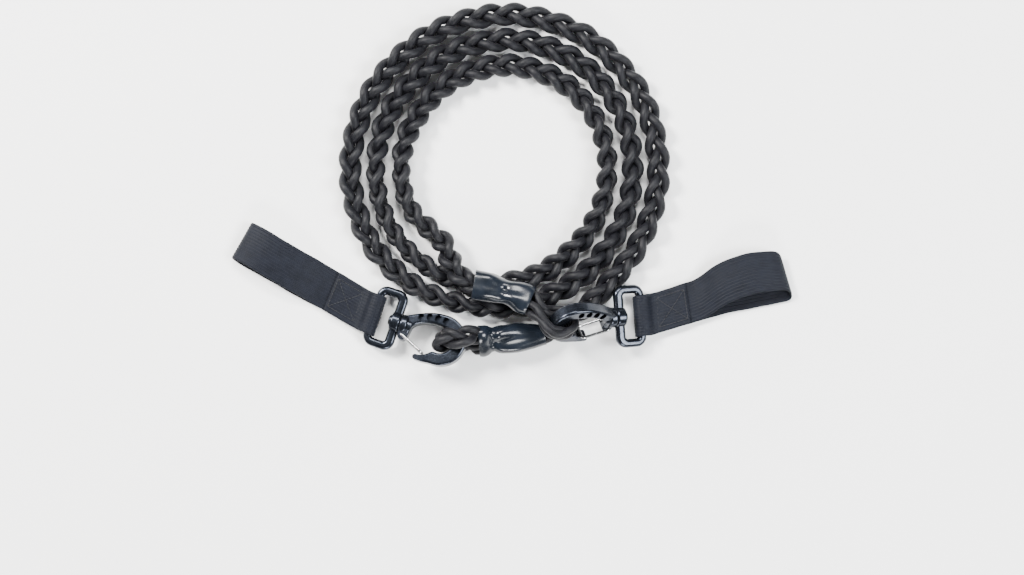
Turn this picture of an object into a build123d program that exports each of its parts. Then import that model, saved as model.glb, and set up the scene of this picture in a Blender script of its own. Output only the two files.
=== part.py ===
from build123d import *
import math
import os

# Training leash: a plait of three elastic cords laid down in three turns. Each end is folded
# into an eye under a shrink sleeve, and each eye holds a swivel snap hook with a webbing handle.
# Millimetres, +Z up. The origin is on the floor, midway between the two handles.

# Plaited cord
braid_width = 13.0
braid_height = 12.0
tail_diameter = 10.0
eye_diameter = 7.0
eye_turn_radius = 9.7
eye_leg = 5.5

# The three turns, wound inward anticlockwise as seen from above
coil_centre = (-8.0, 75.3)
coil_radius = 98.0
turn_step = 15.6
coil_oval = 1.6
coil_dent = 3.0
dent_angle = 252.0
dent_spread = 22.0
coil_edge = 3.0
outline_step = 20

# Shrink sleeves, and the bound cord inside them
sleeve_wall = 1.2
sleeve_gap = 0.1
mouth_round = 0.48
binding_inset = 4.0

# Snap hook, in its own plane: X from the bend towards the swivel, Y towards the spine
hook_thickness = 8.0
opening_radius = 8.0
bend_radius = 15.7
neck_end = 27.0
lug_end = 26.5
neck_radius = 4.8
swivel_side = 2.0
gate_pivot = (23.9, -4.5)
lug_radius = 3.3
gate_nose = (8.0, -11.2)
gate_leg = 4.4
gate_wire_radius = 0.9
lug_thickness = 6.4
body_edge = 1.5
pivot_depth = 1.7
pocket_depth = 3.0
collar_start = 22.4
collar_radius = 6.2
collar_edge = 1.2
running_gap = 0.05

# Swivel pin and webbing ring
pin_radius = 2.0
pin_root = 21.5
pin_head_radius = 3.3
pin_head = 1.5
ring_length = 20.0
ring_width = 38.0
ring_thickness = 5.0
ring_corner = 6.5
slot_length = 9.0
slot_width = 27.5
near_bar = 6.0
ring_gap = 0.15
ring_edge = 2.2
bar_reach = 44.65
slot_corner = 1.5

# Webbing handle
webbing_width = 25.0
webbing = 1.4
wrap_radius = 3.15
sewn_start = 9.0
sewn_end = 32.0
sewn_floor = 0.65
loop_height = 11.0
knee_reach = 7.0
stitch_width = 0.8
stitch_height = 0.35
stitch_box = 18.0

os.makedirs("parts", exist_ok=True)


def along(degrees):
    return Vector(math.cos(math.radians(degrees)), math.sin(math.radians(degrees)), 0)


def coil_point(turns, beside, height=0.0):
    """A point beside the centre line of the turns, after so many turns from the +X direction."""
    turned = math.tau * turns
    dent = coil_dent * math.exp(-(((360 * turns - dent_angle) / dent_spread) ** 2))
    r = coil_radius - turn_step * turns + coil_oval * math.sin(2 * turned) - dent + beside
    x, y = coil_centre
    return (x + r * math.cos(turned), y + r * math.sin(turned), height)


def route_radii(name, points):
    """The largest arc that each corner of a cord's route has room for."""
    corners = [Vector(p) for p in points]
    radii = []
    for before, corner, after in zip(corners, corners[1:], corners[2:]):
        shorter = min((corner - before).length, (after - corner).length)
        turn = math.radians((corner - before).get_angle(after - corner))
        radii.append(0.45 * shorter / math.tan(turn / 2))
    print(name, "radii", [round(r, 1) for r in radii])
    return radii


def finish(part, label):
    part.label = label
    export_step(part, f"parts/{label}.step")


def cord_tube(label, points, diameter):
    radii = route_radii(label, points)
    with BuildPart() as tube:
        with BuildLine() as route:
            FilletPolyline(*points, radius=radii)
        with BuildSketch(Plane(origin=route.wire() @ 0, z_dir=route.wire() % 0)):
            Circle(diameter / 2)
        sweep()
    run = math.pi * diameter**2 / 4 * route.wire().length
    print(label, "length", round(route.wire().length, 1), "volume over section", round(tube.part.volume / run, 4))
    finish(tube.part, label)


# ---------------------------------------------------------------- the three turns
with BuildPart() as coil:
    with BuildSketch():
        with BuildLine():
            Spline(
                [coil_point(a / 360, braid_width / 2) for a in range(-35, 286, outline_step)],
                periodic=True,
            )
        make_face()
        with BuildLine():
            Spline(
                [coil_point(2 + a / 360, -braid_width / 2) for a in range(-70, 241, outline_step)],
                periodic=True,
            )
        make_face(mode=Mode.SUBTRACT)
    extrude(amount=braid_height)
    fillet(coil.faces().filter_by(Axis.Z).edges(), coil_edge)
finish(coil.part, "braid_coil")


# ---------------------------------------------------------------- one end of the leash
def hook_plane(centre, heading, tilt, roll, spine_left):
    """The hook's own plane. Heading is the way to the ring, tilt how far the ring end dips,
    and roll how far the spine rises above the gate."""
    level = along(heading)
    side = along(heading + (90 if spine_left else -90))
    reach = level * math.cos(math.radians(tilt)) - Vector(0, 0, math.sin(math.radians(tilt)))
    lift = side.cross(reach).normalized()
    if lift.Z < 0:
        lift = -lift
    spine = side * math.cos(math.radians(roll)) + lift * math.sin(math.radians(roll))
    return Plane(origin=centre, x_dir=reach, z_dir=reach.cross(spine))


def ring_plane(hook):
    """The webbing ring's own plane: on the swivel axis, and level from side to side."""
    level = Vector(0, 0, 1).cross(hook.x_dir).normalized()
    return Plane(
        origin=hook.from_local_coords((0, swivel_side, 0)),
        x_dir=hook.x_dir,
        z_dir=hook.x_dir.cross(level),
    )


def across(plane, x, y=0.0):
    """A plane across another plane's X axis."""
    return Plane(origin=plane.from_local_coords((x, y, 0)), x_dir=plane.y_dir, z_dir=plane.x_dir)


def sleeve(end, stations):
    """A shrunk tube over the folded cord, through oval stations: centre, heading, lean, width, height."""
    planes = []
    ovals = []
    for centre, heading, lean, width, height in stations:
        level = along(heading - 90)
        wide = level * math.cos(math.radians(lean)) + Vector(0, 0, math.sin(math.radians(lean)))
        planes.append(Plane(origin=centre, x_dir=wide, z_dir=along(heading)))
        ovals.append((width, height))
    with BuildPart() as shell:
        for plane, (width, height) in zip(planes, ovals):
            with BuildSketch(plane):
                RectangleRounded(width, height, mouth_round * height)
        loft()
        for plane, (width, height) in zip(planes, ovals):
            with BuildSketch(plane):
                RectangleRounded(width - 2 * sleeve_wall, height - 2 * sleeve_wall, mouth_round * height - sleeve_wall)
        loft(mode=Mode.SUBTRACT)
    finish(shell.part, f"shrink_sleeve_{end}")

    # The folded cord and its whipping fill the sleeve between its two mouths.
    inset = sleeve_wall + sleeve_gap
    first, last = planes[0], planes[-1]
    with BuildPart() as binding:
        for plane, (width, height) in zip(planes, ovals):
            with BuildSketch(plane):
                RectangleRounded(width - 2 * inset, height - 2 * inset, mouth_round * height - inset)
        loft()
        split(bisect_by=first.offset(binding_inset), keep=Keep.TOP)
        split(bisect_by=last.offset(-binding_inset), keep=Keep.BOTTOM)
    finish(binding.part, f"eye_binding_{end}")


def hook_casting():
    """The hook's body, lying on the XY plane."""
    lug_middle = lug_end - lug_radius
    lug_front = lug_middle - lug_radius
    with BuildPart() as body:
        with BuildSketch():
            with BuildLine():
                spine_out = Spline(
                    (lug_end, 6.8),
                    (20, 10.2),
                    (10, 14.4),
                    (0, bend_radius),
                    tangents=((-1, 0.45), (-1, 0)),
                )
                bend_out = RadiusArc(spine_out @ 1, (0, -bend_radius), -bend_radius)
                nose_out = Spline(bend_out @ 1, (6, -16.3), (11.2, -16.3), tangents=((1, 0), (1, 0.1)))
                nose_tip = ThreePointArc(nose_out @ 1, (12.9, -14.6), (11.2, -12.9))
                nose_in = Spline(
                    nose_tip @ 1, (8, -12.3), (3.6, -9.2), (0, -opening_radius), tangents=((-1, 0.1), (-1, 0))
                )
                bend_in = RadiusArc(nose_in @ 1, (0, opening_radius), opening_radius)
                spine_in = Spline(
                    bend_in @ 1, (10, 7.4), (17, 4.4), (lug_front, -2.5), tangents=((1, 0), (0, -1))
                )
                front = Line(spine_in @ 1, (lug_front, gate_pivot[1]))
                lug = ThreePointArc(
                    front @ 1, (lug_middle, gate_pivot[1] - lug_radius), (lug_end, gate_pivot[1])
                )
                Line(lug @ 1, spine_out @ 0)
            make_face()
        extrude(amount=hook_thickness / 2, both=True)
        fillet(body.faces().filter_by(Axis.Z).edges(), body_edge)
        with BuildSketch(across(Plane.XY, 20.0, swivel_side)):
            Circle(neck_radius)
        extrude(amount=neck_end - 20.0)
        with BuildSketch() as collar:
            with Locations((collar_start, swivel_side)):
                Rectangle(neck_end - collar_start, collar_radius, align=(Align.MIN, Align.MIN))
            fillet(collar.vertices().group_by(Axis.Y)[-1], collar_edge)
        revolve(axis=Axis((0, swivel_side, 0), (1, 0, 0)))
        for side in (1, -1):
            # The lug and the nose are thinner, so that the gate's legs pass outside them.
            with BuildSketch(Plane.XY.offset(side * lug_thickness / 2)):
                with Locations((25.0, -6.1)):
                    Rectangle(11.0, 7.0)
                with Locations((10.0, -14.0)):
                    Rectangle(9.0, 7.0)
            extrude(amount=side * hook_thickness, mode=Mode.SUBTRACT)
            # The spine's sides are hollowed between ribs.
            with BuildSketch(Plane.XY.offset(side * (hook_thickness / 2 - pocket_depth))):
                for x, y, lean in ((0.6, 11.9, 0), (5.8, 11.8, -4), (10.9, 10.9, -13), (15.7, 9.0, -26)):
                    with Locations((x, y)):
                        SlotOverall(4.8, 3.6, rotation=90 + lean)
            extrude(amount=side * hook_thickness, mode=Mode.SUBTRACT)
            with BuildSketch(Plane.XY.offset(side * lug_thickness / 2)):
                with Locations(gate_pivot):
                    Circle(gate_wire_radius + running_gap)
            extrude(amount=-side * (pivot_depth + 0.2), mode=Mode.SUBTRACT)
        with BuildSketch(across(Plane.XY, pin_root, swivel_side)):
            Circle(pin_radius)
        extrude(amount=neck_end - pin_root + 1, mode=Mode.SUBTRACT)
    return body.part


def eye_turn(hook, mouth):
    """Corners of the eye where it turns round the hook's bend, from its upper leg to its lower one."""
    towards = hook.to_local_coords(Vector(mouth))
    reach = (hook.x_dir * towards.X + hook.y_dir * towards.Y).normalized()
    up = hook.z_dir if hook.z_dir.Z > 0 else -hook.z_dir
    bar = hook.origin + reach * (opening_radius + bend_radius) / 2
    flat = eye_turn_radius * math.tan(math.radians(22.5))
    r = eye_turn_radius
    corners = ((eye_leg, r), (-flat, r), (-r, flat), (-r, -flat), (-flat, -r), (eye_leg, -r))
    return [bar + reach * x + up * z for x, z in corners]


def gate_wire(end, hook):
    px, py = gate_pivot
    nx, ny = gate_nose
    inner = lug_thickness / 2 - pivot_depth
    points = [
        (px, py, inner),
        (px, py, gate_leg),
        (nx, ny, gate_leg),
        (nx, ny, -gate_leg),
        (px, py, -gate_leg),
        (px, py, -inner),
    ]
    with BuildPart() as gate:
        with BuildLine() as route:
            FilletPolyline(*[hook.from_local_coords(p) for p in points], radius=[1.1, 2.2, 2.2, 1.1])
        with BuildSketch(Plane(origin=route.wire() @ 0, z_dir=route.wire() % 0)):
            Circle(gate_wire_radius)
        sweep()
    finish(gate.part, f"gate_wire_{end}")


def swivel(end, hook, ring):
    seat = neck_end + ring_gap + near_bar
    with BuildPart() as pin:
        with BuildSketch(across(ring, pin_root)):
            Circle(pin_radius)
        extrude(amount=seat + ring_gap - pin_root)
        with BuildSketch(across(ring, seat + ring_gap)):
            Circle(pin_head_radius)
        extrude(amount=pin_head)
        head = pin.faces().sort_by(Axis(ring.origin, ring.x_dir))[-1]
        fillet(head.edges(), 0.9)
    finish(pin.part, f"swivel_pin_{end}")

    near = neck_end + ring_gap
    with BuildPart() as frame:
        with BuildSketch(ring):
            with Locations((near + ring_length / 2, 0)):
                RectangleRounded(ring_length, ring_width, ring_corner)
            with Locations((near + near_bar + slot_length / 2, 0)):
                RectangleRounded(slot_length, slot_width, slot_corner, mode=Mode.SUBTRACT)
        extrude(amount=ring_thickness / 2, both=True)
        fillet(frame.faces().filter_by(ring).edges(), ring_edge)
        with BuildSketch(ring) as boss:
            with Locations((near, 0)):
                Rectangle(near_bar, collar_radius, align=(Align.MIN, Align.MIN))
            fillet(boss.vertices().group_by(Axis.Y)[-1], collar_edge)
        revolve(axis=Axis(ring.origin, ring.x_dir))
        with BuildSketch(across(ring, near - 1)):
            Circle(pin_radius + running_gap)
        extrude(amount=near_bar + 2, mode=Mode.SUBTRACT)
    finish(frame.part, f"webbing_ring_{end}")


def handle(end, ring, far_centre):
    """A webbing loop round the ring's far bar, sewn flat near the ring and open beyond."""
    bar = ring.from_local_coords((bar_reach, 0, 0))
    reach = Vector(far_centre[0] - bar.X, far_centre[1] - bar.Y, 0)
    length = reach.length
    strap = reach.normalized()
    out = Vector(ring.x_dir.X, ring.x_dir.Y, 0).normalized()
    bar_side = Vector(0, 0, 1).cross(out)
    strap_side = Vector(0, 0, 1).cross(strap)
    # Heights in the profile are measured from the bar's centre line.
    profile = Plane(origin=bar, x_dir=strap, z_dir=strap.cross(Vector(0, 0, 1)))
    floor = -bar.Z
    wrap = wrap_radius + webbing
    sewn_low = floor + sewn_floor
    sewn_top = sewn_low + 3 * webbing
    top = floor + loop_height
    with BuildPart() as loop:
        with BuildSketch(profile):
            with BuildLine():
                back = RadiusArc((0, sewn_low), (0, sewn_low + 2 * wrap), wrap)
                over = Spline(
                    back @ 1, (sewn_start, sewn_top), tangents=((1, 0), (1, 0)), tangent_scalars=(0.8, 1.1)
                )
                sewn = Line(over @ 1, (sewn_end, sewn_top))
                step = Line(sewn @ 1, (sewn_end, sewn_top - webbing))
                rise = Spline(
                    step @ 1,
                    (length * 0.55, top - 2.2),
                    (length * 0.8, top),
                    (length, floor + loop_height / 2),
                    (length * 0.93, floor),
                    tangents=((1, 0.05), (-1, 0)),
                )
                base = Line(rise @ 1, (sewn_end + 14, floor))
                Spline(base @ 1, (sewn_end, sewn_low), tangents=((-1, 0), (-1, 0)))
                Line((sewn_end, sewn_low), (0, sewn_low))
            make_face()
            with BuildLine():
                inner_rise = Spline(
                    (sewn_end + 4, sewn_top - 1.9 * webbing),
                    (length * 0.56, top - 2.3 - webbing),
                    (length * 0.8, top - webbing),
                    (length - webbing, floor + loop_height / 2),
                    (length * 0.92, floor + webbing),
                    tangents=((1, 0.2), (-1, 0)),
                )
                inner_base = Line(inner_rise @ 1, (sewn_end + 14, floor + webbing))
                Spline(inner_base @ 1, inner_rise @ 0, tangents=((-1, 0), (-1, 0.1)))
            make_face(mode=Mode.SUBTRACT)
            Circle(wrap_radius, mode=Mode.SUBTRACT)
        extrude(amount=webbing_width, both=True, dir=bar_side)
        # Seen from above, the webbing is square to the bar as far as the knee, then turns to its far end.
        near = Vector(bar.X, bar.Y, 0) - out * (wrap + 0.5)
        knee = Vector(bar.X, bar.Y, 0) + out * knee_reach
        far = Vector(far_centre[0], far_centre[1], 0) + strap
        half = webbing_width / 2
        with BuildSketch():
            with BuildLine():
                Polyline(
                    near - bar_side * half,
                    near + bar_side * half,
                    knee + bar_side * half,
                    far + strap_side * half,
                    far - strap_side * half,
                    knee - bar_side * half,
                    close=True,
                )
            make_face()
        extrude(amount=loop_height + 1, mode=Mode.INTERSECT)
    finish(loop.part, f"handle_webbing_{end}")

    middle = (sewn_start + sewn_end) / 2 + 1
    thread_top = bar.Z + sewn_top
    thread_low = bar.Z + sewn_low
    with BuildPart() as stitching:
        for height, side in ((thread_top, 1), (thread_low, -1)):
            with BuildSketch(Plane(origin=(bar.X, bar.Y, height), x_dir=strap, z_dir=(0, 0, 1))):
                with Locations((middle, 0)):
                    Rectangle(stitch_box, stitch_box)
                    Rectangle(
                        stitch_box - 2 * stitch_width, stitch_box - 2 * stitch_width, mode=Mode.SUBTRACT
                    )
                    for lean in (45, -45):
                        Rectangle((stitch_box - 1) * math.sqrt(2), stitch_width, rotation=lean)
            extrude(amount=side * stitch_height)
    finish(stitching.part, f"handle_stitching_{end}")
    print("handle", end, "reach", round(length, 1), "bar", [round(v, 2) for v in bar])


# ---------------------------------------------------------------- left end
casting = hook_casting()
hook_a = hook_plane((-42.6, -29.8, 12.7), 161, 9.2, -10, False)
ring_a = ring_plane(hook_a)
mouth_a = (-19.6, -29.6, 12.8)
finish(hook_a.location * casting, "hook_body_a")
gate_wire("a", hook_a)
swivel("a", hook_a, ring_a)
handle("a", ring_a, (-164.1, 32.3))
sleeve(
    "a",
    [
        (mouth_a, 4, -38, 20.4, 11.6),
        ((-8.0, -28.6, 10.6), 4, -25, 16.5, 11.5),
        ((2.0, -28.0, 9.0), 5, -10, 18.0, 12.0),
        ((20.7, -26.2, 6.4), 8, 0, 13.0, 12.4),
    ],
)
cord_tube(
    "braid_eye_a",
    [
        (-16.0, -25.7, 14.9),
        (-20.5, -26.2, 16.3),
        *eye_turn(hook_a, mouth_a),
        (-20.4, -33.0, 9.4),
        (-15.9, -33.1, 9.5),
    ],
    eye_diameter,
)
cord_tube(
    "braid_tail_a",
    [
        (17.0, -26.7, 6.6),
        (22.6, -25.7, 5.4),
        (27.3, -19.8, 5.1),
        (33.5, -15.8, 5.1),
        (41.5, -12.0, 5.1),
        (51.5, -5.2, 5.4),
    ],
    tail_diameter,
)

# ---------------------------------------------------------------- right end
hook_b = hook_plane((37.5, -18.4, 20.7), 4, 22.2, 54, True)
ring_b = ring_plane(hook_b)
mouth_b = (11.6, -5.5, 20.4)
finish(hook_b.location * casting, "hook_body_b")
gate_wire("b", hook_b)
swivel("b", hook_b, ring_b)
handle("b", ring_b, (167.8, 11.6))
sleeve(
    "b",
    [
        (mouth_b, 156, -30, 18.0, 12.0),
        ((1.5, -1.8, 19.4), 160, -15, 15.5, 12.0),
        ((-10.0, 1.6, 18.9), 165, 0, 18.0, 12.4),
        ((-22.6, 4.2, 18.8), 170, 0, 17.0, 12.6),
    ],
)
cord_tube(
    "braid_eye_b",
    [
        (6.6, -7.5, 21.6),
        (11.0, -9.1, 22.5),
        (16.0, -16.5, 26.5),
        *eye_turn(hook_b, mouth_b),
        (14.0, -2.8, 18.4),
        (9.6, -0.9, 18.4),
    ],
    eye_diameter,
)
cord_tube(
    "braid_tail_b",
    [
        (-41.5, 31.5, 8.0),
        (-38.5, 23.0, 11.5),
        (-34.0, 14.0, 15.8),
        (-27.0, 5.4, 18.6),
        (-19.0, 3.6, 18.8),
    ],
    tail_diameter,
)
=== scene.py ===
"""Training leash laid down in a coil, seen from above. Metres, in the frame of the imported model.

The plait is one cord of three strands: it starts in the left sleeve, turns round the left hook,
winds three times inward and ends in the right sleeve after its turn round the right hook.
"""

import math

import bpy
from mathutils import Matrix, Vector


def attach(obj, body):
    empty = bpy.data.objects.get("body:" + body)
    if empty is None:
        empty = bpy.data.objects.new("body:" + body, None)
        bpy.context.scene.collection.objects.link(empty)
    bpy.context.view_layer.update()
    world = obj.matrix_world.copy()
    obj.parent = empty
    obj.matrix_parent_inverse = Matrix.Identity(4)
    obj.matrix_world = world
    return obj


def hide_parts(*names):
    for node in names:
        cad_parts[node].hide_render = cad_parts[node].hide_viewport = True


MM = 0.001
UP = Vector((0, 0, 1))

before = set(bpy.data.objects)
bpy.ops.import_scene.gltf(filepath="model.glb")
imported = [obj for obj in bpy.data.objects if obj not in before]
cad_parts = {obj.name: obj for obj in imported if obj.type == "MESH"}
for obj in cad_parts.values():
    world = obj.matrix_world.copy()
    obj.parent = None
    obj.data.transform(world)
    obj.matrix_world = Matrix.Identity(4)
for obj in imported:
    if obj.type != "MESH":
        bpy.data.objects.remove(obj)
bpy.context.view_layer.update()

# ------------------------------------------------------------------ sizes, in millimetres
# The plait: a strand weaves sideways by the spread and up and down by the lift, once in a period
STRAND_RADIUS = 2.65
PLAIT_SPREAD = 4.5
PLAIT_CORNER = 0.06  # how square the weave's turns are
PLAIT_LIFT = 2.9
PLAIT_REACH = 5.0  # the furthest a strand's middle strays sideways
PLAIT_UNEVEN = 0.05
PLAIT_PERIOD_OUTER = 47.0
PLAIT_PERIOD_INNER = 37.0
BUNDLE_RADIUS = 2.6
ROW_SPACING = 4.4
EYE_STRAND_RADIUS = 2.15
RING_STEP = 1.25
STRAND_SIDES = 18
FLOOR_GAP = 0.1

# The turns, as in the CAD
COIL_CENTRE = (-8.0, 75.3)
COIL_RADIUS = 98.0
TURN_STEP = 15.6
COIL_OVAL = 1.6
COIL_DENT = 3.0
DENT_ANGLE = 252.0
DENT_SPREAD = 22.0
POINTS_PER_TURN = 14
FIRST_TURN_POINT = -0.07
LAST_TURN_POINT = 2.58

# The hooks and eyes, as in the CAD
OPENING_RADIUS = 8.0
BEND_RADIUS = 15.7
EYE_TURN_RADIUS = 9.7
EYE_LEG = 5.5
SWIVEL_SIDE = 2.0
BAR_REACH = 44.65

# The sleeves
SLEEVE_RINGS = 120
SLEEVE_SIDES = 96
SLEEVE_WALL = 1.2
LIP_DEPTH = 7.0
OVAL_POWER = 2.5

# The handles, as in the CAD
WEBBING_WIDTH = 25.0
WEBBING = 1.4
WRAP_RADIUS = 3.15
SEWN_START = 9.0
SEWN_END = 32.0
SEWN_FLOOR = 0.65
STITCH_BOX = 18.0
KNEE_REACH = 7.0

# The webbing's ribs and the stitches
RIBS = 13
RIB_DEPTH = 0.22
RIB_POINTS = 4
WEB_THICK = 1.25
WEB_STEP = 1.2
STITCH_PITCH = 2.2
THREAD_RADIUS = 0.24


def along(degrees):
    return Vector((math.cos(math.radians(degrees)), math.sin(math.radians(degrees)), 0))


def ease(x, low, high):
    t = min(max((x - low) / (high - low), 0.0), 1.0)
    return t * t * (3 - 2 * t)


def eased(stations, x):
    """The value at x between stations (x, value), turning smoothly at each."""
    if x <= stations[0][0]:
        return stations[0][1]
    for (x0, a), (x1, b) in zip(stations, stations[1:]):
        if x <= x1:
            return a + (b - a) * ease(x, x0, x1)
    return stations[-1][1]


class Hook:
    """A hook's own plane: x from the bend to the swivel, y towards the spine, z across it."""

    def __init__(self, centre, heading, tilt, roll, spine_left):
        side = along(heading + (90 if spine_left else -90))
        t, r = math.radians(tilt), math.radians(roll)
        self.centre = Vector(centre)
        self.x = along(heading) * math.cos(t) - UP * math.sin(t)
        lift = side.cross(self.x).normalized()
        if lift.z < 0:
            lift = -lift
        self.y = side * math.cos(r) + lift * math.sin(r)
        self.z = self.x.cross(self.y).normalized()

    def eye_turn(self, mouth, r, slack):
        """Corners of the cord's turn round the bend, from its upper leg to its lower one, for a turn of
        radius r. The slack is how far the turn stands off the bend."""
        towards = Vector(mouth) - self.centre
        reach = (self.x * towards.dot(self.x) + self.y * towards.dot(self.y)).normalized()
        up = self.z if self.z.z > 0 else -self.z
        bar = self.centre + reach * (OPENING_RADIUS + BEND_RADIUS) / 2
        flat = r * math.tan(math.radians(22.5))
        far = -r - slack
        upper = [(EYE_LEG, r), (-flat - slack, r), (far, flat)]
        lower = [(x, -z) for x, z in reversed(upper)]
        return [bar + reach * x + up * z for x, z in upper + lower]

    def far_bar(self):
        """The middle of the ring's far bar, which the webbing goes round."""
        return self.centre + self.y * SWIVEL_SIDE + self.x * BAR_REACH


hook_a = Hook((-42.6, -29.8, 12.7), 161, 9.2, -10, False)
hook_b = Hook((37.5, -18.4, 20.7), 4, 22.2, 54, True)
MOUTH_A = (-19.6, -29.6, 12.8)
MOUTH_B = (11.6, -5.5, 20.4)


# ------------------------------------------------------------------ the cord's route
def coil_point(turns):
    """A point on the middle line of the turns. The spline runs inside its points, so they stand out."""
    turned = math.tau * turns
    dent = COIL_DENT * math.exp(-(((360 * turns - DENT_ANGLE) / DENT_SPREAD) ** 2))
    r = COIL_RADIUS - TURN_STEP * turns + COIL_OVAL * math.sin(2 * turned) - dent
    r /= math.cos(math.pi / POINTS_PER_TURN)
    return Vector((COIL_CENTRE[0] + r * math.cos(turned), COIL_CENTRE[1] + r * math.sin(turned), 6.0))


# How far the plait leans onto its edge, in degrees, after so many turns
EDGE_ON = (
    (-0.15, 0), (0.58, 0), (0.69, 72), (0.80, 8), (0.93, 45), (1.06, 50), (1.18, 0),
    (1.40, 8), (1.50, 72), (1.64, 74), (1.80, 8), (1.95, 62), (2.07, 58), (2.20, 4),
    (2.40, 10), (2.50, 78), (2.62, 62), (2.70, 30),
)  # fmt: skip

turn_a = hook_a.eye_turn(MOUTH_A, EYE_TURN_RADIUS, 2.6)
turn_b = hook_b.eye_turn(MOUTH_B, EYE_TURN_RADIUS - 2.0, 3.5)
coil_steps = int((LAST_TURN_POINT - FIRST_TURN_POINT) * POINTS_PER_TURN)
coil_turns = [FIRST_TURN_POINT + i / POINTS_PER_TURN for i in range(coil_steps + 1)]

route = []


def lay(points, form, side=None, lean=0.0, size=1.0):
    """Adds points to the route, with how the strands lie there. The form is 0 in the open plait, 1 in a
    round bundle and 2 where the three strands lie side by side. The side is the way across, level when
    it isn't given, and the lean turns it, in degrees."""
    for point in points:
        route.append(
            {"point": Vector(point), "form": form, "side": side, "lean": lean, "size": size}
        )


lay([(-10.5, -26.6, 11.6)], 1, hook_a.y, size=0.75)
lay([(-16.0, -25.7, 14.4)], 0.7, hook_a.y, size=0.85)
lay([(-21.5, -25.6, 16.0)], 0.3, hook_a.y)
lay(turn_a[:1], 0.2, hook_a.y)
lay(turn_a[1:-1], 0.3, hook_a.y)
lay(turn_a[-1:], 0.5, hook_a.y, size=0.9)
lay([(-21.5, -33.5, 9.0)], 0.4, hook_a.y, size=0.9)
lay([(-15.9, -33.1, 9.2)], 0.7, hook_a.y, size=0.8)
lay([(-6.0, -30.0, 9.4), (6.0, -27.8, 8.0)], 1, size=0.7)
lay([(17.0, -26.7, 6.6)], 0.6, size=0.75)
lay([(22.6, -25.7, 5.4)], 0, size=0.8)
lay([(27.3, -19.8, 5.1), (33.5, -15.8, 5.1), (41.5, -12.0, 5.1)], 0, size=0.85)
lay([(51.5, -5.2, 5.4)], 0, size=0.95)
for turns in coil_turns:
    lay([coil_point(turns)], 0, lean=eased(EDGE_ON, turns))
lay([(-41.5, 31.5, 8.0)], 0, lean=40)
lay([(-38.5, 23.0, 11.5), (-34.0, 14.0, 15.8)], 0, lean=20)
lay([(-27.0, 5.4, 18.6)], 0, size=0.9)
lay([(-19.0, 3.6, 18.8)], 0.6, size=0.85)
lay([(-10.0, 1.6, 18.6), (1.5, -2.6, 19.0)], 1, size=0.75)
lay([(6.6, -6.9, 21.0)], 1, hook_b.y, size=0.85)
lay([(11.0, -8.8, 22.8)], 0.7, hook_b.y, size=0.95)
lay([(16.5, -13.6, 26.5)], 0.5, hook_b.y)
lay(turn_b[:1], 0.8, hook_b.y)
lay(turn_b[1:-1], 1.6, hook_b.y)
lay(turn_b[-1:], 0.6, hook_b.y)
lay([(14.0, -3.0, 18.6)], 0.5, hook_b.y, size=0.95)
lay([(9.6, -1.7, 18.4), (4.5, -0.2, 18.5)], 1, hook_b.y, size=0.75)


# ------------------------------------------------------------------ mesh helpers
def mesh_piece(name, vertices, faces, uvs=None):
    """A mesh object. Vertices are in millimetres; uvs has one pair for each corner of each face."""
    mesh = bpy.data.meshes.new(name)
    mesh.from_pydata([Vector(v) * MM for v in vertices], [], faces)
    if uvs:
        layer = mesh.uv_layers.new(name="UVMap")
        for loop, uv in zip(layer.data, uvs):
            loop.uv = uv
    mesh.validate()
    mesh.update()
    mesh.polygons.foreach_set("use_smooth", [True] * len(mesh.polygons))
    piece = bpy.data.objects.new(name, mesh)
    bpy.context.scene.collection.objects.link(piece)
    return piece


def tube(points, radii, sides, vertices, faces, uvs):
    """Adds a closed round tube along the points. Its uv is the part of the way round, and the run in
    centimetres."""
    start = len(vertices)
    tangents = []
    for i in range(len(points)):
        a, b = points[max(i - 1, 0)], points[min(i + 1, len(points) - 1)]
        tangents.append((b - a).normalized())
    normal = tangents[0].orthogonal().normalized()
    run = 0.0
    runs = []
    for i, (point, tangent, radius) in enumerate(zip(points, tangents, radii)):
        if i:
            run += (point - points[i - 1]).length
        runs.append(run)
        normal = (normal - tangent * normal.dot(tangent)).normalized()
        across = tangent.cross(normal)
        for k in range(sides):
            a = math.tau * k / sides
            vertices.append(point + (normal * math.cos(a) + across * math.sin(a)) * radius)
    for i in range(len(points) - 1):
        for k in range(sides):
            n = (k + 1) % sides
            low, high = start + i * sides, start + (i + 1) * sides
            faces.append((low + k, low + n, high + n, high + k))
            uvs += [
                (k / sides, runs[i] / 10),
                ((k + 1) / sides, runs[i] / 10),
                ((k + 1) / sides, runs[i + 1] / 10),
                (k / sides, runs[i + 1] / 10),
            ]
    last = start + (len(points) - 1) * sides
    faces.append(tuple(range(start + sides - 1, start - 1, -1)))
    uvs += [(0, 0)] * sides
    faces.append(tuple(range(last, last + sides)))
    uvs += [(0, run / 10)] * sides


def smooth_line(points, resolution):
    """The points of a smooth NURBS line with these control points, in millimetres."""
    curve = bpy.data.curves.new("line", "CURVE")
    curve.dimensions = "3D"
    curve.resolution_u = resolution
    spline = curve.splines.new("NURBS")
    spline.points.add(len(points) - 1)
    for knot, point in zip(spline.points, points):
        knot.co = (*point * MM, 1.0)
    spline.order_u = 3
    spline.use_endpoint_u = True
    holder = bpy.data.objects.new("line", curve)
    bpy.context.scene.collection.objects.link(holder)
    mesh = bpy.data.meshes.new_from_object(holder)
    out = [v.co / MM for v in mesh.vertices]
    bpy.data.objects.remove(holder)
    bpy.data.curves.remove(curve)
    bpy.data.meshes.remove(mesh)
    return out


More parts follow.
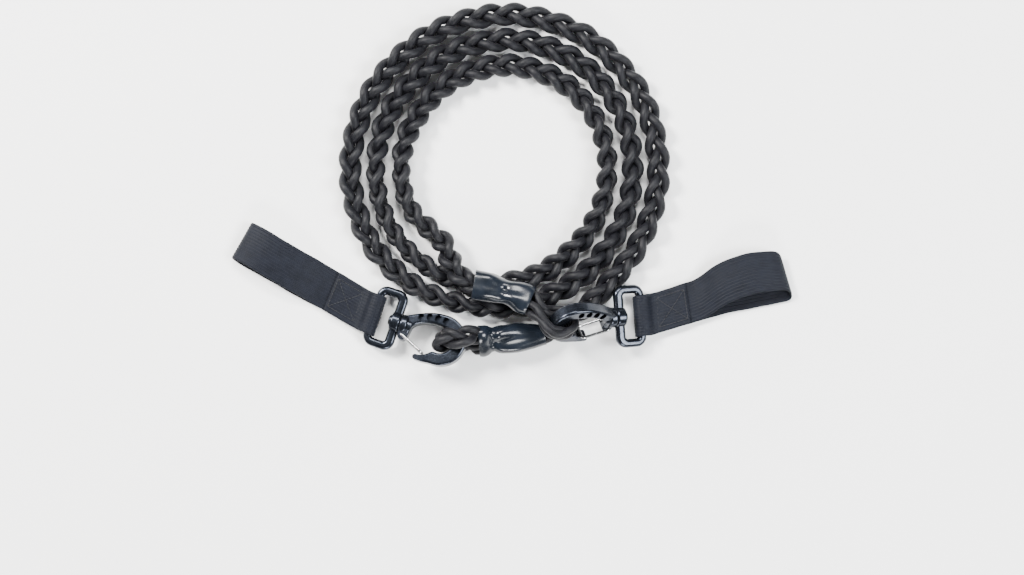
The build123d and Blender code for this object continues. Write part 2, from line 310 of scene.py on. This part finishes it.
def even_steps(points, step):
    """Points at even steps along a line, each with its place in the list of points, parts included."""
    out = [(points[0], 0.0)]
    left = step
    for i, (a, b) in enumerate(zip(points, points[1:])):
        length = (b - a).length
        done = 0.0
        while length - done >= left:
            done += left
            t = done / length
            out.append((a.lerp(b, t), i + t))
            left = step
        left -= length - done
    out.append((points[-1], len(points) - 1))
    return out


# ------------------------------------------------------------------ the plait
line = smooth_line([station["point"] for station in route], 20)

# Stations for the sides and leans follow the spline's parameter, which runs evenly over its spans.
spans = len(route) - 2
station_at = [min(max(i - 0.5, 0.0), spans) for i in range(len(route))]


def plan_side(tangent):
    """The level direction to the left of the way the cord runs."""
    return UP.cross(tangent).normalized()


rings = [(p, at * spans / (len(line) - 1)) for p, at in even_steps(line, RING_STEP)]


def between(at):
    """The two stations either side of a place on the spline, and how far it is between them."""
    for i in range(len(station_at) - 1):
        if at <= station_at[i + 1]:
            gap = station_at[i + 1] - station_at[i]
            return route[i], route[i + 1], (at - station_at[i]) / gap if gap else 0.0
    return route[-2], route[-1], 1.0


def frames_along(rings):
    """For each ring of the plait: its centre, the way across, the way up, its form, size and phase."""
    out = []
    phase = 0.0
    count = len(rings)
    for i, (point, at) in enumerate(rings):
        tangent = (rings[min(i + 1, count - 1)][0] - rings[max(i - 1, 0)][0]).normalized()
        a, b, t = between(at)
        level = plan_side(tangent) if abs(tangent.z) < 0.98 else a["side"] or b["side"]
        side = (a["side"] or level).lerp(b["side"] or level, t)
        side = (side - tangent * side.dot(tangent)).normalized()
        lean = math.radians(a["lean"] + (b["lean"] - a["lean"]) * t)
        rise = tangent.cross(side)
        across = side * math.cos(lean) + rise * math.sin(lean)
        form = a["form"] + (b["form"] - a["form"]) * t
        size = a["size"] + (b["size"] - a["size"]) * t
        share = i / count
        period = PLAIT_PERIOD_OUTER + (PLAIT_PERIOD_INNER - PLAIT_PERIOD_OUTER) * share
        if i:
            # In the bundle and the row the strands keep their places.
            plaited = 1 - ease(form, 0.25, 0.9)
            phase += math.tau * RING_STEP / period * plaited
        out.append((point, across, tangent.cross(across), form, size, phase))
    return out


def strand_points(laid, strand):
    """A strand's points and radii: it weaves, gathers into a bundle, and spreads in a row."""
    points, radii = [], []
    for i, (centre, across, rise, form, size, phase) in enumerate(laid):
        turn = phase + math.tau * strand / 3
        wander = 1 + PLAIT_UNEVEN * math.sin(0.021 * i + 2.1 * strand)
        weave = math.sin(turn) - PLAIT_CORNER * math.sin(3 * turn)
        plait = (PLAIT_SPREAD * wander * weave, -PLAIT_LIFT * math.sin(2 * turn))
        bundle = (BUNDLE_RADIUS * math.sin(turn), BUNDLE_RADIUS * math.cos(turn))
        order = sorted(range(3), key=lambda k: math.sin(math.tau * k / 3 + phase))
        row = (ROW_SPACING * (order.index(strand) - 1), 0.0)
        to_bundle = ease(form, 0.0, 1.0)
        to_row = ease(form, 1.0, 2.0)
        u = (plait[0] + (bundle[0] - plait[0]) * to_bundle) * size
        w = (plait[1] + (bundle[1] - plait[1]) * to_bundle) * size
        u += (row[0] - u) * to_row
        w += (row[1] - w) * to_row
        points.append(centre + across * u + rise * w)
        gathered = min(to_bundle + to_row, 1)
        radii.append(STRAND_RADIUS + (EYE_STRAND_RADIUS - STRAND_RADIUS) * gathered)
    return points, radii


laid = frames_along(rings)
# A leaning plait is taller than a flat one, so its middle line is lifted off the floor to match.
lifted = []
for centre, across, rise, form, size, phase in laid:
    reach = math.hypot(PLAIT_REACH * across.z * size, PLAIT_LIFT * rise.z * size) + STRAND_RADIUS
    reach = max(reach, STRAND_RADIUS + 0.5)
    centre = centre + UP * max(0.0, reach + FLOOR_GAP - centre.z)
    lifted.append((centre, across, rise, form, size, phase))

vertices, faces, uvs = [], [], []
for strand in range(3):
    points, radii = strand_points(lifted, strand)
    tube(points, radii, STRAND_SIDES, vertices, faces, uvs)
plait = mesh_piece("plaited_cord", vertices, faces, uvs)
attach(plait, "leash")
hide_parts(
    "braid_coil", "braid_tail_a", "braid_tail_b", "braid_eye_a", "braid_eye_b",
)  # fmt: skip


# ------------------------------------------------------------------ the shrink sleeves
# Each sleeve's stations, from its mouth at the eye: centre, heading, lean, width and height
SLEEVE_A = (
    (MOUTH_A, 4, -38, 20.4, 12.0),
    ((-15.5, -29.3, 12.1), 4, -36, 20.0, 12.0),
    ((-10.0, -28.9, 11.0), 4, -30, 17.0, 12.6),
    ((-4.0, -28.7, 10.0), 5, -20, 17.6, 12.2),
    ((3.0, -28.0, 8.9), 6, -10, 18.0, 12.0),
    ((12.0, -27.0, 7.5), 8, -4, 15.4, 11.6),
    ((20.7, -26.0, 6.6), 10, 0, 12.4, 11.6),
)
SLEEVE_B = (
    (MOUTH_B, 156, -30, 18.6, 12.4),
    ((6.5, -3.6, 20.0), 157, -24, 18.4, 12.6),
    ((-1.0, -0.7, 19.3), 160, -14, 15.2, 12.0),
    ((-8.0, 1.3, 18.9), 164, -4, 16.4, 12.4),
    ((-16.0, 3.2, 18.8), 168, 0, 18.2, 12.8),
    ((-22.6, 4.6, 18.8), 170, 0, 18.0, 12.8),
)
# Lumps where the rubber has shrunk onto the strands: place along, place round in degrees (0 is the
# top, 90 the right-hand side), spread along, spread round, and height in millimetres
LUMPS_A = (
    (0.10, -42, 0.13, 40, 1.0),
    (0.12, 48, 0.12, 36, 1.0),
    (0.30, 0, 0.07, 200, -1.3),
    (0.31, -28, 0.07, 26, -0.9),
    (0.45, -40, 0.15, 26, 1.9),
    (0.52, -4, 0.22, 15, -1.7),
    (0.66, 30, 0.20, 24, 1.7),
    (0.88, 10, 0.12, 80, 0.4),
)
LUMPS_B = (
    (0.12, 24, 0.14, 44, 1.1),
    (0.10, -56, 0.12, 36, 0.6),
    (0.34, -26, 0.16, 24, 1.9),
    (0.36, 34, 0.14, 26, 0.9),
    (0.50, 2, 0.045, 13, -1.5),
    (0.48, 0, 0.12, 70, -0.8),
    (0.58, 60, 0.10, 40, -0.8),
    (0.74, -20, 0.20, 24, 1.8),
    (0.76, 36, 0.16, 28, 1.0),
)


def smooth_between(values, t):
    """Catmull-Rom through evenly numbered values, each a tuple of numbers; t runs from 0 to 1."""
    spot = t * (len(values) - 1)
    i = min(int(spot), len(values) - 2)
    f = spot - i
    p0, p1 = values[max(i - 1, 0)], values[i]
    p2, p3 = values[i + 1], values[min(i + 2, len(values) - 1)]
    out = []
    for a, b, c, d in zip(p0, p1, p2, p3):
        square, cube = 2 * a - 5 * b + 4 * c - d, 3 * b - a - 3 * c + d
        out.append(0.5 * (2 * b + (c - a) * f + square * f**2 + cube * f**3))
    return out


def lump(lumps, t, degrees):
    """How far the lumps push the skin out at a place along and round the sleeve."""
    total = 0.0
    for place, around, spread, width, height in lumps:
        turn = (degrees - around + 180) % 360 - 180
        total += height * math.exp(-(((t - place) / spread) ** 2) - (turn / width) ** 2)
    return total


def sleeve(name, stations, lumps, wave):
    """A shrunk tube: an outer skin with lumps, rolled over at each mouth to a short inner skin. The
    wave is where a faint swelling along it starts."""
    flat = [(*centre, *rest) for centre, *rest in stations]
    skins = [(i / (SLEEVE_RINGS - 1), 0.0) for i in range(SLEEVE_RINGS)]
    length = (Vector(flat[-1][:3]) - Vector(flat[0][:3])).length
    roll = [(0.0, 0.25), (0.0, 0.6), (0.0, 1.0)]
    roll += [(LIP_DEPTH * k / 4 / length, 1.0) for k in (1, 2, 3, 4)]
    rings = [(t, wall) for t, wall in reversed(roll)] + skins + [(1 - t, wall) for t, wall in roll]
    vertices, faces = [], []
    for t, wall in rings:
        x, y, z, heading, lean, width, height = smooth_between(flat, t)
        level = along(heading - 90)
        wide = level * math.cos(math.radians(lean)) + UP * math.sin(math.radians(lean))
        tall = wide.cross(along(heading))
        if tall.z < 0:
            tall = -tall
        for k in range(SLEEVE_SIDES):
            degrees = 360 * k / SLEEVE_SIDES
            a = math.radians(degrees)
            c, s = math.sin(a), math.cos(a)
            oval = (abs(c) ** OVAL_POWER + abs(s) ** OVAL_POWER) ** (-1 / OVAL_POWER)
            swell = lump(lumps, t, degrees) - SLEEVE_WALL * wall
            swell += 0.10 * math.sin(2.3 * math.tau * t + 2 * a + wave)
            point = Vector((x, y, z)) + wide * c * oval * (width / 2 + swell)
            point += tall * s * oval * (height / 2 + swell)
            point.z = max(point.z, 0.15 + 0.2 * wall)
            vertices.append(point)
    for i in range(len(rings) - 1):
        for k in range(SLEEVE_SIDES):
            n = (k + 1) % SLEEVE_SIDES
            low, high = i * SLEEVE_SIDES, (i + 1) * SLEEVE_SIDES
            faces.append((low + k, low + n, high + n, high + k))
    return mesh_piece(name, vertices, faces)


sleeves = []
for end, stations, lumps, wave in (("a", SLEEVE_A, LUMPS_A, 0.4), ("b", SLEEVE_B, LUMPS_B, 2.1)):
    piece = sleeve(f"shrunk_sleeve_{end}", stations, lumps, wave)
    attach(piece, "leash")
    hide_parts(f"shrink_sleeve_{end}", f"eye_binding_{end}")
    sleeves.append(piece)


# ------------------------------------------------------------------ the webbing handles
def rib_section(half):
    """Round the webbing's section: places across and heights, with ribs on both faces."""
    count = RIBS * RIB_POINTS
    top = []
    for i in range(count + 1):
        u = -half + 0.5 + (2 * half - 1.0) * i / count
        rib = abs(math.sin(math.pi * i / RIB_POINTS))
        top.append((u, WEB_THICK / 2 - RIB_DEPTH * (1 - rib)))
    low = [(u, -w) for u, w in reversed(top)]
    edge = [(half - 0.12, WEB_THICK * 0.3), (half, 0.0), (half - 0.12, -WEB_THICK * 0.3)]
    return top + edge + low + [(-u, -w) for u, w in edge]


class Handle:
    """A strip of webbing in a loop. Here s is the reach from the ring's bar, z the height and x the
    sideways shift. The low shifts run outward along the loop's lower layer, and the top shifts back
    along its upper one."""

    def __init__(self, hook, far_centre, low_shifts, top_shifts):
        bar = hook.far_bar()
        self.bar = Vector((bar.x, bar.y, 0))
        reach = Vector((far_centre[0], far_centre[1], 0)) - self.bar
        self.length = reach.length
        self.strap = reach.normalized()
        out = Vector((hook.x.x, hook.x.y, 0)).normalized()
        self.bar_side = UP.cross(out)
        self.strap_side = UP.cross(self.strap)
        self.knee = out * KNEE_REACH
        self.low_shifts, self.top_shifts = low_shifts, top_shifts

    def middle(self, s):
        """The handle's middle line in plan, which bends at the knee."""
        knee_s = self.knee.dot(self.strap)
        knee_x = self.knee.dot(self.strap_side)
        bent = min(max(s / knee_s, 0.0), 1.0)
        share = min(max((s - knee_s) / (self.length - knee_s), 0.0), 1.0)
        return self.bar + self.strap * s + self.strap_side * knee_x * bent * (1 - share)

    def side(self, s):
        """The way across: along the bar at the ring, and square to the strap further out."""
        return self.bar_side.lerp(self.strap_side, ease(s, 2.0, 0.75 * self.length)).normalized()

    def profile(self):
        """Control points of the strip, each its reach, height and sideways shift: from its cut end on
        top, round the bar, out underneath, round the far fold and back on top to end between the
        layers."""
        zb = SEWN_FLOOR + WEBBING + WRAP_RADIUS
        r = WRAP_RADIUS + WEBBING / 2
        flat = r * math.tan(math.radians(22.5))
        low, mid, high = (SEWN_FLOOR + WEBBING * (k + 0.5) for k in range(3))
        full = self.length
        out = [(SEWN_END - 2, high, 0), (24, high, 0), (16, high, 0)]
        out += [(11, high + 0.1, 0), (6.6, high + 1.2, 0), (4.2, zb + r - 0.8, 0)]
        out += [(flat, zb + r, 0), (-flat, zb + r, 0), (-r, zb + flat, 0)]
        out += [(-r, zb - flat, 0), (-flat, zb - r, 0), (flat + 1, zb - r, 0)]
        out += [(8, low, 0), (18, low, 0), (30, low, 0)]
        under = ((40, 0.9), (52, 0.7), (full * 0.72, 0.7), (full * 0.9, 0.8), (full - 1.4, 0.9))
        out += [(*place, shift) for place, shift in zip(under, self.low_shifts)]
        between = (self.low_shifts[-1] * 2 + self.top_shifts[0]) / 3
        out += [(full + 0.2, 2.4, between), (full - 0.2, 5.0, (between + self.top_shifts[0]) / 2)]
        over = ((full - 2.6, 7.4), (full - 9, 9.4), (full - 19, 10.3))
        over += ((full * 0.66, 9.2), (full * 0.54, 7.2), (43, 4.6))
        out += [(*place, shift) for place, shift in zip(over, self.top_shifts)]
        out += [(36, 3.1, 0), (30, mid, 0), (22, mid, 0), (12, mid, 0)]
        return out

    def strip(self, name):
        control = [self.middle(s) + self.strap_side * shift + UP * z for s, z, shift in self.profile()]
        path = [p for p, _ in even_steps(smooth_line(control, 16), WEB_STEP)]
        section = rib_section(WEBBING_WIDTH / 2)
        vertices, faces, uvs = [], [], []
        count = len(section)
        for i, point in enumerate(path):
            tangent = (path[min(i + 1, len(path) - 1)] - path[max(i - 1, 0)]).normalized()
            side = self.side((point - self.bar).dot(self.strap))
            face = side.cross(tangent).normalized()
            wave = 0.10 * math.sin(0.19 * i) + 0.06 * math.sin(0.47 * i + 1)
            for u, w in section:
                vertices.append(point + side * (u + wave) + face * w)
        run = 0.0
        widths = [(u + WEBBING_WIDTH / 2) / 10 for u, _ in section]
        for i in range(len(path) - 1):
            ahead = run + (path[i + 1] - path[i]).length / 10
            for k in range(count):
                n = (k + 1) % count
                low, high = i * count, (i + 1) * count
                faces.append((low + k, low + n, high + n, high + k))
                uvs += [(widths[k], run), (widths[n], run), (widths[n], ahead), (widths[k], ahead)]
            run = ahead
        last = (len(path) - 1) * count
        faces.append(tuple(range(count - 1, -1, -1)))
        faces.append(tuple(range(last, last + count)))
        uvs += [(w, 0.0) for w in reversed(widths)] + [(w, run) for w in widths]
        self.run = run * 10
        return mesh_piece(name, vertices, faces, uvs)

    def stitches(self, name):
        """A box with a cross in it, in separate stitches, on the top face and the underside."""
        low, high = SEWN_START + 1.5, SEWN_END - 3.5
        half = STITCH_BOX / 2
        corners = ((low, -half), (high, -half), (high, half), (low, half))
        runs = [(corners[i], corners[(i + 1) % 4]) for i in range(4)]
        runs += [(corners[0], corners[2]), (corners[1], corners[3])]
        vertices, faces, uvs = [], [], []
        for z in (SEWN_FLOOR + 3 * WEBBING, SEWN_FLOOR + 0.02):
            for (s0, x0), (s1, x1) in runs:
                length = math.hypot(s1 - s0, x1 - x0)
                count = round(length / STITCH_PITCH)
                for i in range(count):
                    points, radii = [], []
                    for step in range(7):
                        f = step / 6
                        g = (i + 0.1 + 0.8 * f) / count
                        s, x = s0 + (s1 - s0) * g, x0 + (x1 - x0) * g
                        arch = math.sin(math.pi * f)
                        rise = UP * (z - 0.2 + THREAD_RADIUS * arch)
                        points.append(self.middle(s) + self.side(s) * x + rise)
                        radii.append(THREAD_RADIUS)
                    tube(points, radii, 6, vertices, faces, uvs)
        return mesh_piece(name, vertices, faces, uvs)


low_shifts_a, top_shifts_a = (0.8, 1.2, 1.5, 1.8, 1.6), (0.4, 0, 0, 0, 0, 0)
low_shifts_b, top_shifts_b = (-0.4, -0.6, -2.2, -4.2, -5.0), (2.4, 4.2, 6.2, 6.2, 4.8, 1.8)
handles = {
    "a": Handle(hook_a, (-164.1, 32.3), low_shifts_a, top_shifts_a),
    "b": Handle(hook_b, (167.8, 11.6), low_shifts_b, top_shifts_b),
}
webbings, stitchings = [], []
for end, handle in handles.items():
    piece = handle.strip(f"webbing_strip_{end}")
    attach(piece, f"handle_{end}")
    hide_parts(f"handle_webbing_{end}")
    webbings.append(piece)
    print("webbing", end, "length mm", round(handle.run, 1))
    piece = handle.stitches(f"box_stitching_{end}")
    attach(piece, f"handle_{end}")
    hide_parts(f"handle_stitching_{end}")
    stitchings.append(piece)


# ------------------------------------------------------------------ materials
class Material:
    """A node material: named values go straight on the shader's sockets."""

    def __init__(self, name, **values):
        self.material = bpy.data.materials.new(name)
        self.material.use_nodes = True
        self.tree = self.material.node_tree
        self.shader = self.tree.nodes["Principled BSDF"]
        for key, value in values.items():
            self.shader.inputs[key.replace("_", " ")].default_value = value

    def node(self, kind, inputs=(), **settings):
        made = self.tree.nodes.new(kind)
        for key, value in settings.items():
            setattr(made, key, value)
        for key, value in dict(inputs).items():
            if isinstance(value, bpy.types.NodeSocket):
                self.tree.links.new(value, made.inputs[key])
            else:
                made.inputs[key].default_value = value
        return made

    def math(self, operation, a, b=0.0):
        return self.node("ShaderNodeMath", {0: a, 1: b}, operation=operation).outputs[0]

    def coordinates(self, which):
        return self.node("ShaderNodeTexCoord").outputs[which]

    def noise(self, vector, scale, detail=3.0, roughness=0.5):
        made = self.node("ShaderNodeTexNoise", {"Vector": vector, "Scale": scale, "Detail": detail})
        made.inputs["Roughness"].default_value = roughness
        return made.outputs["Fac"]

    def ramp(self, factor, low, high, colours):
        made = self.node("ShaderNodeValToRGB", {"Fac": factor})
        made.color_ramp.elements[0].position = low
        made.color_ramp.elements[1].position = high
        made.color_ramp.elements[0].color = (*colours[0], 1)
        made.color_ramp.elements[1].color = (*colours[1], 1)
        return made.outputs["Color"]

    def span(self, factor, low, high):
        """Maps 0..1 to low..high."""
        made = self.node("ShaderNodeMapRange", {"Value": factor, "To Min": low, "To Max": high})
        return made.outputs["Result"]

    def drive(self, socket, output):
        self.tree.links.new(output, self.shader.inputs[socket])

    def bump(self, height, distance, strength=1.0, under=None):
        inputs = {"Height": height, "Distance": distance, "Strength": strength}
        if under is not None:
            inputs["Normal"] = under
        normal = self.node("ShaderNodeBump", inputs).outputs["Normal"]
        self.drive("Normal", normal)
        return normal


def cord_cover():
    """Braided nylon sheath: fine yarns cross on the strand's surface in both directions."""
    m = Material("cord_cover", Sheen_Weight=0.03, Sheen_Roughness=0.4, Specular_IOR_Level=0.2)
    uv = m.coordinates("UV")
    parts = m.node("ShaderNodeSeparateXYZ", {0: uv})
    around = m.math("MULTIPLY", parts.outputs[0], math.tau * 16)
    # The uv's second value is the run in centimetres.
    run = m.math("MULTIPLY", parts.outputs[1], math.tau * 8.5)
    left = m.math("SINE", m.math("ADD", around, run))
    right = m.math("SINE", m.math("SUBTRACT", around, run))
    weave = m.math("MULTIPLY", left, right)
    height = m.span(weave, 0.0, 1.0)
    shade = m.noise(m.coordinates("Object"), 260.0, 4.0, 0.6)
    mixed = m.math("ADD", m.math("MULTIPLY", height, 0.55), m.math("MULTIPLY", shade, 0.6))
    colours = ((0.0016, 0.0017, 0.0026), (0.0100, 0.0102, 0.0145))
    m.drive("Base Color", m.ramp(mixed, 0.25, 0.95, colours))
    m.drive("Roughness", m.span(shade, 0.36, 0.54))
    fuzz = m.bump(m.noise(m.coordinates("Object"), 2600.0, 2.0, 0.6), 0.00006, 0.5)
    m.bump(height, 0.00014, 0.6, fuzz)
    return m.material


def webbing_weave():
    """Woven nylon webbing: ribs run along it, crossed by fine weft."""
    m = Material("webbing_weave", Sheen_Weight=0.02, Sheen_Roughness=0.4, Specular_IOR_Level=0.11)
    uv = m.coordinates("UV")
    parts = m.node("ShaderNodeSeparateXYZ", {0: uv})
    # The uv is the place across and the run along the webbing, in centimetres.
    ribs = m.math("SINE", m.math("MULTIPLY", parts.outputs[0], math.tau * 5.2))
    weft = m.math("SINE", m.math("MULTIPLY", parts.outputs[1], math.tau * 9.0))
    brick = m.math("SINE", m.math("MULTIPLY", parts.outputs[0], math.tau * 10.4))
    cross = m.math("MULTIPLY", weft, brick)
    rib_height = m.span(m.math("ABSOLUTE", ribs), 0.0, 1.0)
    height = m.math("ADD", m.math("MULTIPLY", rib_height, 0.7), m.math("MULTIPLY", cross, 0.3))
    shade = m.noise(m.coordinates("Object"), 180.0, 4.0, 0.6)
    mixed = m.math("ADD", m.math("MULTIPLY", height, 0.5), m.math("MULTIPLY", shade, 0.5))
    colours = ((0.0014, 0.0018, 0.0032), (0.0085, 0.0102, 0.0165))
    m.drive("Base Color", m.ramp(mixed, 0.15, 0.85, colours))
    m.drive("Roughness", m.span(shade, 0.42, 0.6))
    fuzz = m.bump(m.noise(m.coordinates("Object"), 2400.0, 2.0, 0.6), 0.00005, 0.5)
    m.bump(height, 0.0002, 0.7, fuzz)
    return m.material


def thread():
    m = Material("thread", Sheen_Weight=0.03, Specular_IOR_Level=0.25)
    where = m.coordinates("Object")
    shade = m.noise(where, 900.0)
    m.drive("Base Color", m.ramp(shade, 0.3, 0.7, ((0.004, 0.0045, 0.006), (0.014, 0.015, 0.019))))
    m.drive("Roughness", m.span(shade, 0.4, 0.6))
    m.bump(m.noise(where, 3000.0), 0.00005, 0.6)
    return m.material


def shrunk_sleeve():
    """Shrunk polyolefin: satin, faintly wrinkled, its colour mottled at random."""
    m = Material("shrunk_sleeve", Specular_IOR_Level=0.36, Coat_Weight=0.08, Coat_Roughness=0.12)
    where = m.coordinates("Object")
    broad = m.noise(where, 90.0, 3.0)
    fine = m.noise(where, 900.0, 3.0, 0.6)
    m.drive("Base Color", m.ramp(broad, 0.3, 0.75, ((0.0025, 0.004, 0.0065), (0.008, 0.011, 0.017))))
    m.drive("Roughness", m.span(fine, 0.17, 0.31))
    wrinkle = m.bump(m.noise(where, 110.0, 3.0, 0.5), 0.0005, 0.25)
    m.bump(fine, 0.00003, 0.3, wrinkle)
    return m.material


def black_nickel():
    """Plated zinc casting: near black, glossy, with a soft orange peel and rubbed patches."""
    m = Material("black_nickel", Metallic=0.9, Coat_Weight=0.2, Coat_Roughness=0.07)
    where = m.coordinates("Object")
    broad = m.noise(where, 120.0, 4.0, 0.6)
    peel = m.noise(where, 700.0, 2.0)
    scuff = m.noise(where, 1500.0, 5.0, 0.7)
    m.drive("Base Color", m.ramp(broad, 0.35, 0.75, ((0.012, 0.015, 0.022), (0.032, 0.037, 0.048))))
    m.drive("Roughness", m.span(scuff, 0.16, 0.36))
    m.bump(peel, 0.00012, 0.35)
    return m.material


def bright_wire():
    """Drawn stainless wire, with faint draw marks."""
    m = Material("bright_wire", Metallic=1.0)
    where = m.coordinates("Object")
    marks = m.noise(where, 1200.0, 4.0, 0.65)
    m.drive("Base Color", m.ramp(marks, 0.3, 0.8, ((0.32, 0.32, 0.33), (0.56, 0.56, 0.56))))
    m.drive("Roughness", m.span(marks, 0.12, 0.3))
    m.bump(marks, 0.00003, 0.4)
    return m.material


def paper_floor():
    m = Material("paper_floor", Roughness=0.7)
    where = m.coordinates("Object")
    broad = m.noise(where, 6.0, 4.0)
    m.drive("Base Color", m.ramp(broad, 0.2, 0.8, ((0.915, 0.912, 0.905), (0.94, 0.938, 0.932))))
    m.bump(m.noise(where, 900.0, 3.0), 0.00003, 0.3)
    return m.material


COVER = cord_cover()
WEAVE = webbing_weave()
THREAD = thread()
SLEEVE = shrunk_sleeve()
NICKEL = black_nickel()
WIRE = bright_wire()

plait.data.materials.append(COVER)
for piece in sleeves:
    piece.data.materials.append(SLEEVE)
for piece in webbings:
    piece.data.materials.append(WEAVE)
for piece in stitchings:
    piece.data.materials.append(THREAD)
for end in "ab":
    for node, material in (
        (f"hook_body_{end}", NICKEL),
        (f"swivel_pin_{end}", NICKEL),
        (f"webbing_ring_{end}", NICKEL),
        (f"gate_wire_{end}", WIRE),
    ):
        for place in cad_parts[node].material_slots:
            place.material = material


# ------------------------------------------------------------------ floor, light and camera
floor_mesh = bpy.data.meshes.new("floor")
floor_mesh.from_pydata([(-3, -3, 0), (3, -3, 0), (3, 3, 0), (-3, 3, 0)], [], [(0, 1, 2, 3)])
floor = bpy.data.objects.new("floor", floor_mesh)
floor.location.z = -0.0002
floor_mesh.materials.append(paper_floor())
bpy.context.scene.collection.objects.link(floor)


def area_light(name, place, size, power, colour=(1, 1, 1)):
    data = bpy.data.lights.new(name, "AREA")
    data.shape = "RECTANGLE"
    data.size, data.size_y = size
    data.energy = power
    data.color = colour
    light = bpy.data.objects.new(name, data)
    light.location = place
    light.rotation_euler = (-Vector(place)).to_track_quat("-Z", "Y").to_euler()
    bpy.context.scene.collection.objects.link(light)


area_light("key", (-1.2, 0.9, 1.3), (0.5, 0.5), 120, (1.0, 0.985, 0.965))
area_light("fill", (1.4, -0.3, 1.5), (0.9, 0.9), 84, (0.95, 0.975, 1.0))
area_light("top", (0.1, 1.5, 1.7), (1.3, 0.5), 76)
area_light("front", (0.1, -1.5, 0.8), (0.7, 0.3), 32)

world = bpy.data.worlds.new("studio")
world.use_nodes = True
world.node_tree.nodes["Background"].inputs["Color"].default_value = (0.95, 0.97, 1.0, 1)
world.node_tree.nodes["Background"].inputs["Strength"].default_value = 0.20
bpy.context.scene.world = world

camera_data = bpy.data.cameras.new("camera")
camera_data.lens = 70
camera_data.sensor_width = 36
camera = bpy.data.objects.new("camera", camera_data)
camera.location = (0.0006, 0.0027, 0.0085 + 0.6246 * 70 / 36)
bpy.context.scene.collection.objects.link(camera)
bpy.context.scene.camera = camera
